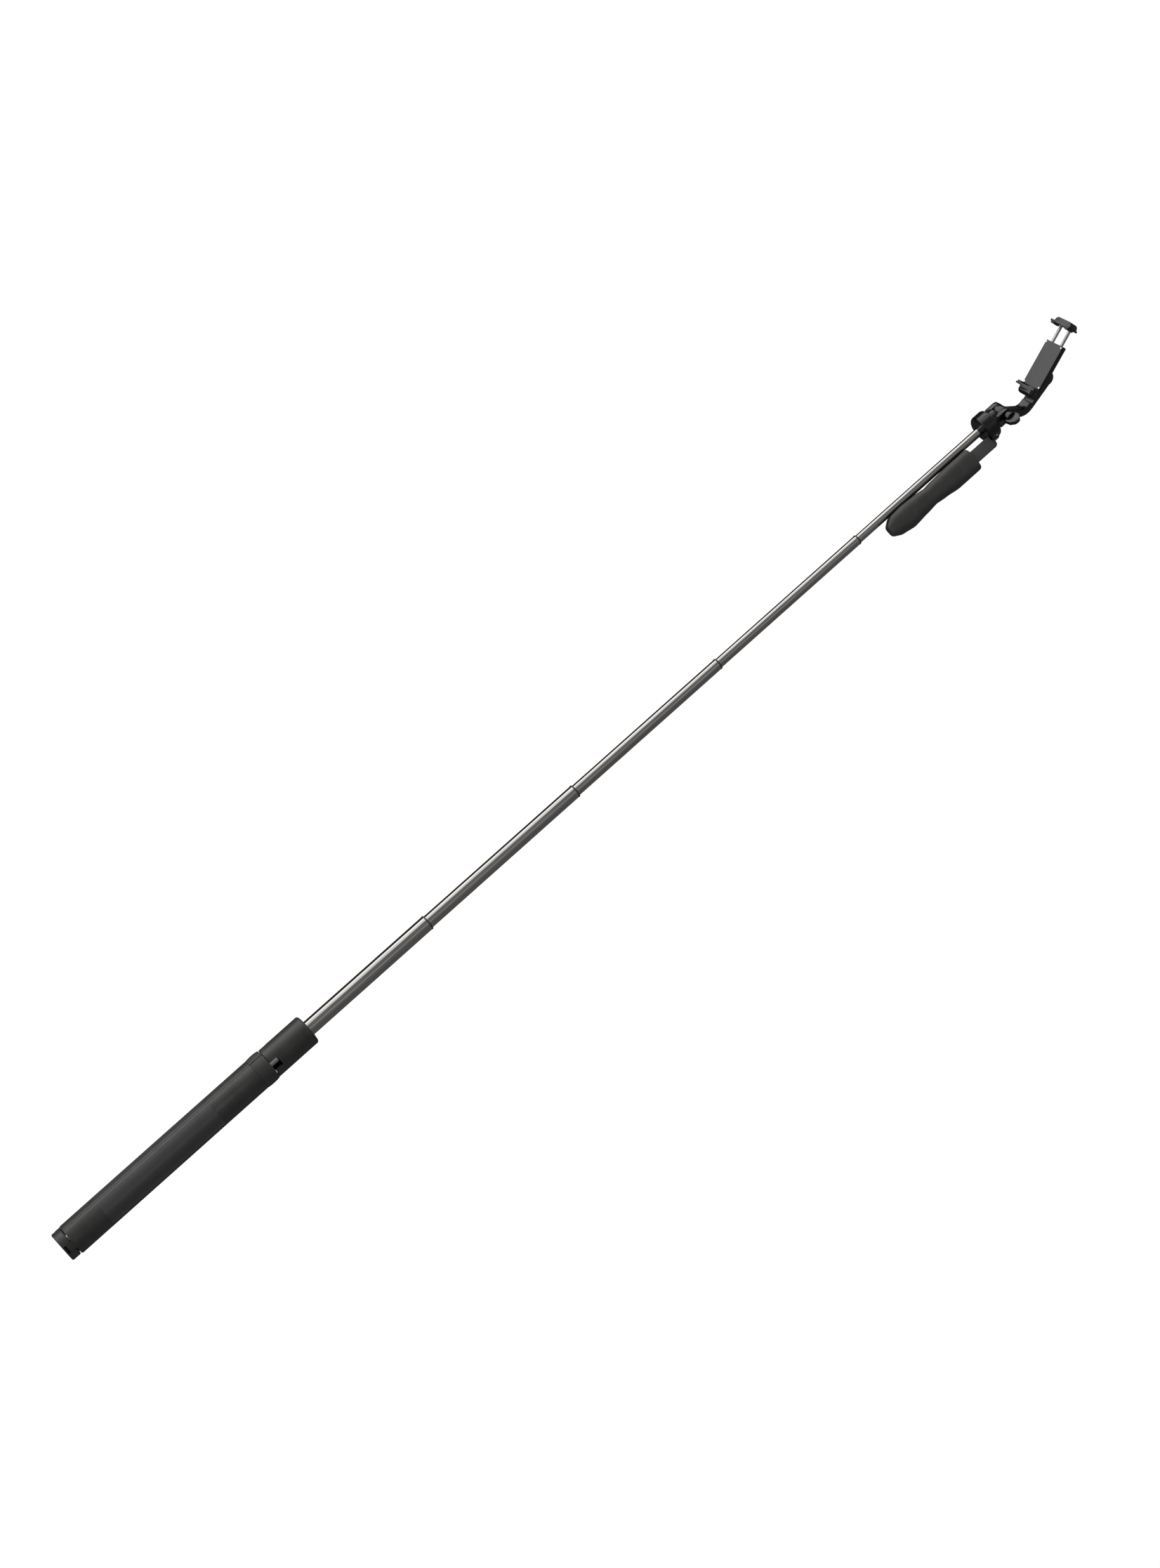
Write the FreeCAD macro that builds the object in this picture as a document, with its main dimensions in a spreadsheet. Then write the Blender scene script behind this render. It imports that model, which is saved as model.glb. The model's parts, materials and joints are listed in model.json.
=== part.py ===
"""Tripod selfie stick: folding legs that form the handle, five sliding tubes, a folding
second hand grip, and a phone clamp that pans, tilts, swivels and opens.

Millimetres. +Z runs up the pole, +X points to the side the second grip hangs on, and -Y is
the side the phone's screen leans towards. The origin is the centre of the base cap's flat
bottom. The pole stands at its full length with the legs folded up round the centre tube.
"""
import FreeCAD, Part
import math
import os
import re
import Sketcher

doc = FreeCAD.newDocument("selfie_stick")
sheet = doc.addObject("Spreadsheet::Sheet", "Dims")
V = FreeCAD.Vector

# ---------------------------------------------------------------- driving dimensions
DIMENSIONS = {
    # base cap, the hub that the three legs turn in
    "cap_radius": 17.1, "cap_height": 10.8, "cap_edge": 1.0, "cap_top_edge": 0.9,
    "slot_width": 9.4, "slot_floor": 1.5, "slot_start": 10.2,
    "pin_reach": 13.6, "pin_level": 6.4, "pin_radius": 1.5, "pin_length": 15.0,
    "pin_play": 0.06, "knuckle_radius": 3.2, "knuckle_width": 8.8,
    # legs, each a third of a ring round the centre tube
    "leg_bearing": -71.5, "leg_span": 118.6, "leg_bottom": 11.4, "leg_radius": 17.95,
    "leg_inside": 10.2, "liner_thick": 1.3, "shell_thick": 2.3, "wall_span": 104.0,
    "foot_bottom": 262.0, "foot_top": 278.6, "foot_radius": 18.6, "foot_swell": 270.0,
    "pad_bottom": 54.0, "pad_top": 205.0, "pad_thick": 0.8, "pad_span": 92.0,
    # fixed centre tube and the collar on top of it
    "centre_radius": 9.6, "centre_bore": 9.0, "centre_bottom": 3.0, "centre_top": 318.0,
    "collar_radius": 17.45, "collar_bottom": 279.2, "collar_top": 333.0,
    "collar_notch": 289.0, "notch_width": 11.6, "collar_lip": 331.0, "collar_edge": 1.4,
    "collar_cavity": 13.2, "bush_outer": 13.1,
    # sliding tubes, largest first: outer radius, bore, and the level of each mouth
    "a_radius": 8.6, "a_bore": 8.05, "a_mouth": 501.5, "a_bottom": 262.0, "a_bush": 8.95,
    "b_radius": 7.5, "b_bore": 7.0, "b_mouth": 714.5, "b_bush": 8.0,
    "c_radius": 6.5, "c_bore": 6.05, "c_mouth": 927.0, "c_bush": 6.95,
    "d_radius": 5.65, "d_bore": 5.25, "d_mouth": 1140.6, "d_bush": 6.0,
    "e_radius": 4.95, "e_bore": 4.45, "e_top": 1346.0, "e_bush": 5.2,
    "hidden_length": 26.0, "bush_length": 16.0, "running_play": 0.06,
    "mouth_height": 1.6, "mouth_proud": 0.3, "skirt_length": 8.0,
    # head block on the last tube
    "block_radius": 17.2, "block_shift": 1.0, "block_bottom": 1333.0, "block_top": 1350.0,
    "block_round": 3.6, "grip_pin_reach": 15.0, "grip_pin_level": 1341.0,
    "grip_pin_radius": 1.75, "grip_pin_length": 18.0, "tongue_width": 9.0,
    "tongue_radius": 5.0, "washer_radius": 9.5, "screw_radius": 2.5, "post_radius": 4.4,
    # folding second grip
    "neck_left": 10.5, "neck_right": 25.4, "neck_shoulder": 1332.4, "neck_top": 1337.0,
    "neck_depth": 15.0, "grip_top": 1303.4, "core_bottom": 1192.0, "core_left": 12.0,
    "core_right": 23.0, "core_depth": 9.0, "pole_room": 7.7,
    # tilt joint
    "tilt_level": 1366.0, "fork_radius": 11.2, "fork_bottom": 1351.1, "fork_deck": 1357.2,
    "ear_inside": 5.2, "ear_outside": 10.6, "ear_radius": 8.3, "bolt_radius": 2.0,
    "bolt_play": 0.06, "knuckle_half": 5.0, "elbow_knuckle": 8.0,
    "pan_angle": -43.4, "tilt_angle": 29.0,
    # elbow arm: a straight link, a bend and a straight arm up behind the phone
    "link_length": 26.0, "link_angle": 22.0, "bend_radius": 16.0, "arm_angle": 80.0,
    "arm_length": 33.0, "arm_thick": 9.2, "arm_width": 14.4, "boss_radius": 9.2,
    # phone clamp, about the centre of the gap that the phone sits in
    "phone_back": 19.5, "phone_up": 78.1, "jaw_gap": 72.0, 
    "body_half": 13.0, "body_front": 6.2, "body_rear": 12.6, "body_floor": -40.0,
    "body_roof": 18.0, "roof_thick": 4.6, "cavity_half": 10.8, "cavity_rear": 11.2,
    "cover_front": 4.6, "jaw_half": 14.0, "jaw_front": -5.2, "jaw_thick": 2.2,
    "pad_rib": 2.0, "rod_spread": 7.0, "rod_radius": 1.8, "rod_depth": 8.7,
    "rod_foot_level": -20.0, "rod_foot_thick": 3.0, "spring_radius": 2.3,
    "swivel_level": -20.1, "stud_radius": 4.0, "stud_play": 0.06,
}


def fill_sheet():
    """One row for each driving dimension: its name, its value and the alias."""
    for row, (alias, value) in enumerate(DIMENSIONS.items(), 1):
        sheet.set(f"A{row}", alias)
        sheet.set(f"B{row}", str(value))
        sheet.setAlias(f"B{row}", alias)
    doc.recompute()


def cells(text):
    """An expression written with bare dimension names, as the document's objects read it."""
    def named(found):
        return "Dims." + found.group() if found.group() in DIMENSIONS else found.group()
    return re.sub(r"[a-z][a-z_]*", named, text)


def number(text):
    """What an expression comes to, read from the sheet."""
    return float(sheet.evalExpression(cells(text)))


def bind(item, **properties):
    """Sets properties by expressions; a double underscore stands for a dot."""
    for name, text in properties.items():
        item.setExpression(name.replace("__", "."), cells(text))


# ---------------------------------------------------------------- sketches and features
def new_body(label):
    body = doc.addObject("PartDesign::Body", label)
    body.Label = label
    return body


def new_sketch(body, role, lift="0"):
    """An empty sketch on one of the body's own origin planes, raised along its normal."""
    sketch = body.newObject("Sketcher::SketchObject", body.Name + "_outline")
    plane = next(o for o in body.Origin.OriginFeatures if o.Role == role)
    sketch.AttachmentSupport = [(plane, "")]
    sketch.MapMode = "FlatFace"
    bind(sketch, AttachmentOffset__Base__z=lift)
    return sketch


def hold(sketch, kind, item, point, text):
    """A driving constraint from the sketch's origin to a point, bound to an expression."""
    index = sketch.addConstraint(Sketcher.Constraint(kind, item, point, number(text)))
    bind(sketch, **{f"Constraints[{index}]": text})


def corners(sketch, outline):
    """A closed outline of straight lines through corners given as pairs of expressions."""
    spots = [V(number(x), number(y), 0) for x, y in outline]
    lines = [Part.LineSegment(a, b) for a, b in zip(spots, spots[1:] + spots[:1])]
    first = sketch.GeometryCount
    sketch.addGeometry(lines, False)
    for i in range(len(lines)):
        follower = first + (i + 1) % len(lines)
        sketch.addConstraint(Sketcher.Constraint("Coincident", first + i, 2, follower, 1))
    for i, (x, y) in enumerate(outline):
        hold(sketch, "DistanceX", first + i, 1, x)
        hold(sketch, "DistanceY", first + i, 1, y)


def circle(sketch, x, y, radius):
    """A circle whose centre and radius are bound to expressions."""
    spot = V(number(x), number(y), 0)
    index = sketch.addGeometry(Part.Circle(spot, V(0, 0, 1), number(radius)), False)
    hold(sketch, "DistanceX", index, 3, x)
    hold(sketch, "DistanceY", index, 3, y)
    size = sketch.addConstraint(Sketcher.Constraint("Radius", index, number(radius)))
    bind(sketch, **{f"Constraints[{size}]": radius})


def box_outline(left, right, low, high):
    return [(left, low), (right, low), (right, high), (left, high)]


def turn(body, profile, span="360", cut=False):
    """Turns a radius-height profile about the body's Z axis, centred on its XZ plane."""
    sketch = new_sketch(body, "XZ_Plane")
    corners(sketch, profile)
    kind = "PartDesign::Groove" if cut else "PartDesign::Revolution"
    feature = body.newObject(kind, body.Name + "_turn")
    feature.Profile = sketch
    feature.ReferenceAxis = (sketch, ["V_Axis"])
    bind(feature, Angle=span)
    feature.Midplane = True
    return feature


def raise_up(body, plane, outline, length, lift="0", cut=False, both=True, reverse=False):
    """Pads or cuts an outline; it is a list of corners or one (x, y, radius) circle."""
    sketch = new_sketch(body, plane, lift)
    if isinstance(outline, tuple):
        circle(sketch, *outline)
    else:
        corners(sketch, outline)
    feature = body.newObject("PartDesign::Pocket" if cut else "PartDesign::Pad", body.Name + "_pad")
    feature.Profile = sketch
    feature.SideType = "Symmetric" if both else "One side"
    feature.Reversed = reverse
    bind(feature, Length=length)
    return feature


def cut(body, plane, outline, length, **options):
    """A pocket that must take material away, so the volume is compared."""
    doc.recompute()
    before = body.Shape.Volume
    raise_up(body, plane, outline, length, cut=True, **options)
    doc.recompute()
    if body.Shape.Volume > before - 0.01:
        raise RuntimeError(f"{body.Label}: a cut took nothing away")


def groove(body, profile, span="360"):
    """A turned cut that must take material away."""
    doc.recompute()
    before = body.Shape.Volume
    turn(body, profile, span, cut=True)
    doc.recompute()
    if body.Shape.Volume > before - 0.01:
        raise RuntimeError(f"{body.Label}: a groove took nothing away")


def soften(body, radius, wanted, kind="PartDesign::Fillet"):
    """Rounds (or chamfers) the edges that a test on each edge's centre picks."""
    doc.recompute()
    base = body.Tip
    names = [
        f"Edge{i}" for i, edge in enumerate(base.Shape.Edges, 1) if wanted(edge.BoundBox.Center, edge)
    ]
    if not names:
        raise RuntimeError(f"{body.Label}: no edge to round")
    feature = body.newObject(kind, body.Name + "_edge")
    feature.Base = (base, names)
    bind(feature, **{"Radius" if kind.endswith("Fillet") else "Size": radius})
    doc.recompute()


def turned(label, profile, span="360"):
    body = new_body(label)
    turn(body, profile, span)
    return body


def cylinder(name, radius, low, high, x="0", y="0"):
    item = doc.addObject("Part::Cylinder", name)
    bind(item, Radius=radius, Height=f"({high}) - ({low})")
    bind(item, Placement__Base__x=x, Placement__Base__y=y, Placement__Base__z=low)
    return item


def sleeve(label, outer, bore, low, high):
    """A plain round tube along Z: one cylinder cut from another."""
    item = doc.addObject("Part::Cut", label)
    item.Label = label
    item.Base = cylinder(label + "_outside", outer, low, high)
    item.Tool = cylinder(label + "_bore", bore, f"({low}) - 1", f"({high}) + 1")
    return item


def block(name, left, right, front, rear, low, high):
    item = doc.addObject("Part::Box", name)
    bind(item, Length=f"({right}) - ({left})", Width=f"({rear}) - ({front})")
    bind(item, Height=f"({high}) - ({low})")
    bind(item, Placement__Base__x=left, Placement__Base__y=front, Placement__Base__z=low)
    return item


def group(label, items):
    """Several separate solids under one name, such as identical screws."""
    item = doc.addObject("Part::Compound", label)
    item.Label = label
    item.Links = items
    return item


# ---------------------------------------------------------------- places of tilted pieces
fill_sheet()
PAN = number("pan_angle")
TILT = number("tilt_angle")
TILT_POINT = V(0, 0, number("tilt_level"))
TILTED = FreeCAD.Rotation(PAN, 0, TILT)
PHONE_POINT = TILT_POINT + TILTED.multVec(V(0, number("phone_back"), number("phone_up")))
AT_FORK = FreeCAD.Placement(V(0, 0, 0), FreeCAD.Rotation(PAN, 0, 0))
AT_ELBOW = FreeCAD.Placement(TILT_POINT, TILTED)
AT_CLAMP = FreeCAD.Placement(PHONE_POINT, TILTED)
LEG_BEARINGS = [number("leg_bearing") + 120 * k for k in range(3)]


def bearing(angle):
    return FreeCAD.Placement(V(0, 0, 0), FreeCAD.Rotation(angle, 0, 0))


# ---------------------------------------------------------------- base cap and centre tube
def make_base():
    cap = turned("base_cap_blank", [
        ("0", "0"), ("cap_radius - cap_edge", "0"), ("cap_radius", "cap_edge"),
        ("cap_radius", "cap_height - cap_top_edge"),
        ("cap_radius - cap_top_edge", "cap_height"), ("0", "cap_height"),
    ])
    socket = [("0", "centre_bottom"), ("centre_radius + 0.03", "centre_bottom"),
              ("centre_radius + 0.03", "cap_height + 1"), ("0", "cap_height + 1")]
    groove(cap, socket)
    # countersunk hole up the middle for the screw that holds the centre tube
    groove(cap, [("0", "-1"), ("4.2", "-1"), ("4.2", "0.2"), ("2.1", "2.2"), ("2.1", "4"), ("0", "4")])
    for angle in LEG_BEARINGS:
        slot = new_sketch(cap, "XY_Plane", "slot_floor")
        turned_by = math.radians(angle)
        inner = number("slot_start")
        outer = number("cap_radius") + 2
        half = number("slot_width") / 2
        spots = [(inner, -half), (outer, -half), (outer, half), (inner, half)]
        spots = [V(x * math.cos(turned_by) - y * math.sin(turned_by),
                   x * math.sin(turned_by) + y * math.cos(turned_by), 0) for x, y in spots]
        slot.addGeometry([Part.LineSegment(a, b) for a, b in zip(spots, spots[1:] + spots[:1])], False)
        pocket = cap.newObject("PartDesign::Pocket", "base_cap_slot")
        pocket.Profile = slot
        pocket.Reversed = True
        bind(pocket, Length="cap_height")
        doc.recompute()
    pins = []
    drills = []
    for k, angle in enumerate(LEG_BEARINGS, 1):
        across = FreeCAD.Rotation(angle, 0, 0).multiply(FreeCAD.Rotation(V(1, 0, 0), -90))
        start = V(number("pin_reach"), -number("pin_length") / 2, number("pin_level"))
        place = FreeCAD.Placement(bearing(angle).multVec(start), across)
        for kind, play in ((pins, "0"), (drills, "0.02")):
            pin = doc.addObject("Part::Cylinder", f"leg_pin_{k}")
            bind(pin, Radius=f"pin_radius + {play}", Height=f"pin_length + {play}")
            pin.Placement = place
            kind.append(pin)
    group("leg_pins", pins)
    drilled = doc.addObject("Part::Cut", "base_cap")
    drilled.Label = "base_cap"
    drilled.Base = cap
    drilled.Tool = group("leg_pin_holes", drills)
    sleeve("centre_tube", "centre_radius", "centre_bore", "centre_bottom", "centre_top")
    turned("base_plug", [
        ("1.7", "centre_bottom + 0.4"), ("centre_bore - 0.05", "centre_bottom + 0.4"),
        ("centre_bore - 0.05", "centre_bottom + 14"), ("1.7", "centre_bottom + 14"),
    ])
    turned("base_screw", [
        ("0", "0"), ("4.0", "0"), ("4.0", "0.2"), ("2.0", "2.1"), ("1.65", "2.5"),
        ("1.65", "14"), ("0", "14"),
    ])
    return drilled


def make_collar():
    collar = turned("collar", [
        ("centre_radius + 0.03", "collar_notch + 1.5"),
        ("collar_cavity + 0.8", "collar_notch + 1.5"),
        ("collar_cavity + 0.8", "collar_bottom"), ("collar_radius", "collar_bottom"),
        ("collar_radius", "collar_top - collar_edge"),
        ("collar_radius - collar_edge", "collar_top"),
        ("a_radius + 0.4", "collar_top"), ("a_radius + 0.4", "collar_lip"),
        ("collar_cavity", "collar_lip"), ("collar_cavity", "centre_top"),
        ("centre_radius + 0.03", "centre_top"),
    ])
    for angle in LEG_BEARINGS:
        doc.recompute()
        before = collar.Shape.Volume
        notch = new_sketch(collar, "XY_Plane", "collar_notch")
        turned_by = math.radians(angle)
        half = number("notch_width") / 2
        outer = number("collar_radius") + 2
        spots = [(number("centre_radius") + 1, -half), (outer, -half), (outer, half),
                 (number("centre_radius") + 1, half)]
        spots = [V(x * math.cos(turned_by) - y * math.sin(turned_by),
                   x * math.sin(turned_by) + y * math.cos(turned_by), 0) for x, y in spots]
        notch.addGeometry([Part.LineSegment(a, b) for a, b in zip(spots, spots[1:] + spots[:1])], False)
        pocket = collar.newObject("PartDesign::Pocket", "collar_notch_cut")
        pocket.Profile = notch
        bind(pocket, Length="collar_notch - collar_bottom + 1")
        doc.recompute()
        if collar.Shape.Volume > before - 0.01:
            raise RuntimeError("the collar's notch took nothing away")
    turned("collar_bush", [
        ("a_radius + running_play", "centre_top + 0.1"), ("bush_outer", "centre_top + 0.1"),
        ("bush_outer", "collar_lip - 0.1"), ("a_radius + running_play", "collar_lip - 0.1"),
    ])


# ---------------------------------------------------------------- folding legs
def make_leg(k, angle):
    """A leg folded up against the centre tube, made about +X and turned to its bearing."""
    shell = turned(f"leg_shell_{k}", [
        ("leg_inside + liner_thick + 0.05", "leg_bottom"), ("leg_radius - 1.2", "leg_bottom"),
        ("leg_radius", "leg_bottom + 1.2"), ("leg_radius", "foot_bottom"),
        ("leg_inside + liner_thick + 0.05", "foot_bottom"),
    ], "leg_span")
    groove(shell, box_outline("leg_inside", "leg_radius - shell_thick", "leg_bottom + 5",
                              "foot_bottom - 4"), "wall_span")
    groove(shell, box_outline("leg_radius - pad_thick", "leg_radius + 1", "pad_bottom",
                              "pad_top"), "pad_span")
    # hinge knuckle that stands in the base cap's slot
    raise_up(shell, "XZ_Plane", ("pin_reach", "pin_level", "knuckle_radius"), "knuckle_width")
    raise_up(shell, "XZ_Plane", box_outline(
        "pin_reach - knuckle_radius", "pin_reach + knuckle_radius", "pin_level",
        "leg_bottom + 1.2"), "knuckle_width")
    cut(shell, "XZ_Plane", ("pin_reach", "pin_level", "pin_radius + pin_play"), "knuckle_width + 2")
    liner = turned(f"leg_liner_{k}", box_outline(
        "leg_inside", "leg_inside + liner_thick", "leg_bottom + 1.4", "foot_bottom - 1"),
        "leg_span - 2")
    pad = turned(f"leg_pad_{k}", box_outline(
        "leg_radius - pad_thick + 0.03", "leg_radius + 0.05", "pad_bottom + 0.1",
        "pad_top - 0.1"), "pad_span - 0.6")
    foot = turned(f"leg_foot_{k}", [
        ("leg_inside", "foot_bottom + 0.05"), ("leg_radius", "foot_bottom + 0.05"),
        ("leg_radius + 0.45", "foot_bottom + 3.5"), ("foot_radius", "foot_swell"),
        ("foot_radius - 0.15", "foot_top - 4"), ("leg_radius - 0.1", "foot_top"),
        ("leg_inside", "foot_top"),
    ], "leg_span")
    for piece in (shell, liner, pad, foot):
        piece.Placement = bearing(angle)


# ---------------------------------------------------------------- sliding tubes
def make_tubes():
    """Each tube is guided by the ring in the mouth of the tube outside it, and by a bush."""
    sleeve("tube_a", "a_radius", "a_bore", "a_bottom", "a_mouth - mouth_height")
    sleeve("bush_a", "a_bush", "a_radius + 0.01", "a_bottom + 1", "a_bottom + bush_length")
    for outer, inner in ("ab", "bc", "cd", "de"):
        turned(f"ring_{outer}", [
            (f"{inner}_radius + running_play", f"{outer}_mouth - mouth_height - skirt_length"),
            (f"{outer}_bore - 0.03", f"{outer}_mouth - mouth_height - skirt_length"),
            (f"{outer}_bore - 0.03", f"{outer}_mouth - mouth_height"),
            (f"{outer}_radius + mouth_proud", f"{outer}_mouth - mouth_height"),
            (f"{outer}_radius + mouth_proud", f"{outer}_mouth - 0.3"),
            (f"{outer}_radius + mouth_proud - 0.3", f"{outer}_mouth"),
            (f"{inner}_radius + running_play", f"{outer}_mouth"),
        ])
        bottom = f"{outer}_mouth - hidden_length"
        top = "e_top" if inner == "e" else f"{inner}_mouth - mouth_height"
        sleeve(f"tube_{inner}", f"{inner}_radius", f"{inner}_bore", bottom, top)
        sleeve(f"bush_{inner}", f"{inner}_bush", f"{inner}_radius + 0.01", bottom,
               f"{bottom} + bush_length")


# ---------------------------------------------------------------- head block
def make_head():
    blank = turned("head_block_blank", box_outline("0", "block_radius", "block_bottom",
                                                   "block_top"))
    soften(blank, "block_round", lambda at, edge: edge.Length > 90)
    blank.Placement = FreeCAD.Placement(V(number("block_shift"), 0, 0), FreeCAD.Rotation())
    slot = block("head_slot", "grip_pin_reach - tongue_radius - 0.4", "block_radius + 5",
                 "-tongue_width/2 - 0.2", "tongue_width/2 + 0.2", "block_bottom - 1",
                 "grip_pin_level + tongue_radius + 0.5")
    hole = doc.addObject("Part::Cylinder", "head_pin_hole")
    bind(hole, Radius="grip_pin_radius + 0.02", Height="grip_pin_length + 0.04")
    hole.Placement = FreeCAD.Placement(
        V(number("grip_pin_reach"), -number("grip_pin_length") / 2 - 0.02, number("grip_pin_level")),
        FreeCAD.Rotation(V(1, 0, 0), -90))
    openings = doc.addObject("Part::MultiFuse", "head_openings")
    openings.Shapes = [
        slot, hole, cylinder("head_bore", "e_radius + 0.03", "block_bottom - 1", "e_top"),
        cylinder("head_screw_hole", "screw_radius + 0.02", "e_top - 1", "block_top + 1"),
    ]
    item = doc.addObject("Part::Cut", "head_block")
    item.Label = "head_block"
    item.Base = blank
    item.Tool = openings
    pin = doc.addObject("Part::Cylinder", "grip_pin")
    pin.Label = "grip_pin"
    bind(pin, Radius="grip_pin_radius", Height="grip_pin_length")
    pin.Placement = FreeCAD.Placement(
        V(number("grip_pin_reach"), -number("grip_pin_length") / 2, number("grip_pin_level")),
        FreeCAD.Rotation(V(1, 0, 0), -90))
    sleeve("head_plug", "post_radius", "screw_radius + 0.02", "block_bottom - 3", "e_top - 0.2")
    sleeve("pan_washer", "washer_radius", "screw_radius + 0.1", "block_top", "fork_bottom - 0.05")
    turned("pan_screw", [
        ("0", "block_bottom - 1"), ("screw_radius", "block_bottom - 1"),
        ("screw_radius", "fork_bottom + 2.2"), ("4.2", "fork_bottom + 2.2"),
        ("4.2", "fork_bottom + 4.6"), ("0", "fork_bottom + 4.6"),
    ])


# ---------------------------------------------------------------- folding second grip
GRIP_SECTIONS = (
    # level, left side, right side, half depth, corner
    (1303.4, 4.2, 32.7, 11.0, 4.0),
    (1270.0, 4.2, 32.7, 11.6, 4.6),
    (1252.0, 5.0, 30.4, 11.2, 5.0),
    (1237.0, 6.4, 28.8, 10.4, 5.0),
    (1221.0, 3.9, 30.1, 11.4, 5.4),
    (1201.0, 2.7, 31.7, 12.2, 6.0),
    (1186.0, 3.6, 29.4, 11.4, 6.0),
    (1174.0, 10.0, 24.4, 7.0, 4.5),
)


def rounded_wire(level, left, right, half, corner):
    """A rectangle with round corners, at one level of the grip."""
    wire = Part.makePolygon([V(left, -half, level), V(right, -half, level), V(right, half, level),
                             V(left, half, level), V(left, -half, level)])
    face = Part.Face(wire)
    bar = face.extrude(V(0, 0, 1))
    upright = [e for e in bar.Edges if abs(e.BoundBox.ZLength - 1) < 1e-6]
    soft = bar.makeFillet(corner, upright)
    lowest = min(soft.Faces, key=lambda f: f.CenterOfMass.z)
    return lowest.OuterWire


def make_grip():
    form = Part.makeLoft([rounded_wire(*row) for row in GRIP_SECTIONS], True, True)
    # channel on the inner side, so the folded grip lies round the pole
    channel = Part.makeCylinder(number("pole_room"), 200, V(0, 0, 1150))
    channel.rotate(V(0, 0, 0), V(0, 0, 1), 135)
    form = form.cut(channel)
    core_room = Part.makeBox(number("core_right - core_left") + 0.1, number("core_depth") + 0.1,
                             130, V(number("core_left") - 0.05, -number("core_depth") / 2 - 0.05,
                                    number("core_bottom") - 0.05))
    form = form.cut(core_room)
    # the shells meet at the middle plane; the front one has blind holes for the screws
    middle = Part.makeBox(60, 40, 200, V(-5, -40, 1150))
    front = form.common(middle)
    rear = form.cut(middle)
    spots = [V(17.5, 0, level) for level in (1286.0, 1245.0, 1211.0)]
    for spot in spots:
        front = front.cut(Part.makeCylinder(1.55, 9.2, spot - V(0, 9.2, 0), V(0, 1, 0)))
        rear = rear.cut(Part.makeCylinder(1.55, 20, spot, V(0, 1, 0)))
        rear = rear.cut(Part.makeCylinder(3.0, 12, spot + V(0, 8, 0), V(0, 1, 0)))
    for label, shape in (("grip_shell_front", front), ("grip_shell_rear", rear)):
        item = doc.addObject("Part::Feature", label)
        item.Label = label
        item.Shape = shape.removeSplitter()
        item.Placement = FreeCAD.Placement()
    screws = []
    for spot in spots:
        shank = Part.makeCylinder(1.5, 17, spot - V(0, 9, 0), V(0, 1, 0))
        head = Part.makeCylinder(2.9, 1.8, spot + V(0, 8.03, 0), V(0, 1, 0))
        screws.append(shank.fuse(head).removeSplitter())
    item = doc.addObject("Part::Feature", "grip_screws")
    item.Label = "grip_screws"
    item.Shape = Part.makeCompound(screws)
    item.Placement = FreeCAD.Placement()
    core = new_body("grip_core")
    raise_up(core, "XZ_Plane", box_outline("core_left", "core_right", "core_bottom",
                                           "grip_top + 4"), "core_depth")
    raise_up(core, "XZ_Plane", box_outline("neck_left", "neck_right", "grip_top + 0.05",
                                           "neck_shoulder"), "neck_depth")
    raise_up(core, "XZ_Plane", [
        ("neck_left", "neck_shoulder - 4"), ("neck_right", "neck_shoulder - 4"),
        ("neck_right", "neck_top - 4"), ("neck_right - 1.2", "neck_top - 1.2"),
        ("neck_right - 4", "neck_top"), ("neck_left", "neck_top")], "tongue_width")
    raise_up(core, "XZ_Plane", ("grip_pin_reach", "grip_pin_level", "tongue_radius"),
             "tongue_width")
    cut(core, "XZ_Plane", ("grip_pin_reach", "grip_pin_level", "grip_pin_radius + pin_play"),
        "tongue_width + 2")
    for level in ("1286", "1245", "1211"):
        cut(core, "XZ_Plane", ("17.5", level, "1.55"), "core_depth + 2")


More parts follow.
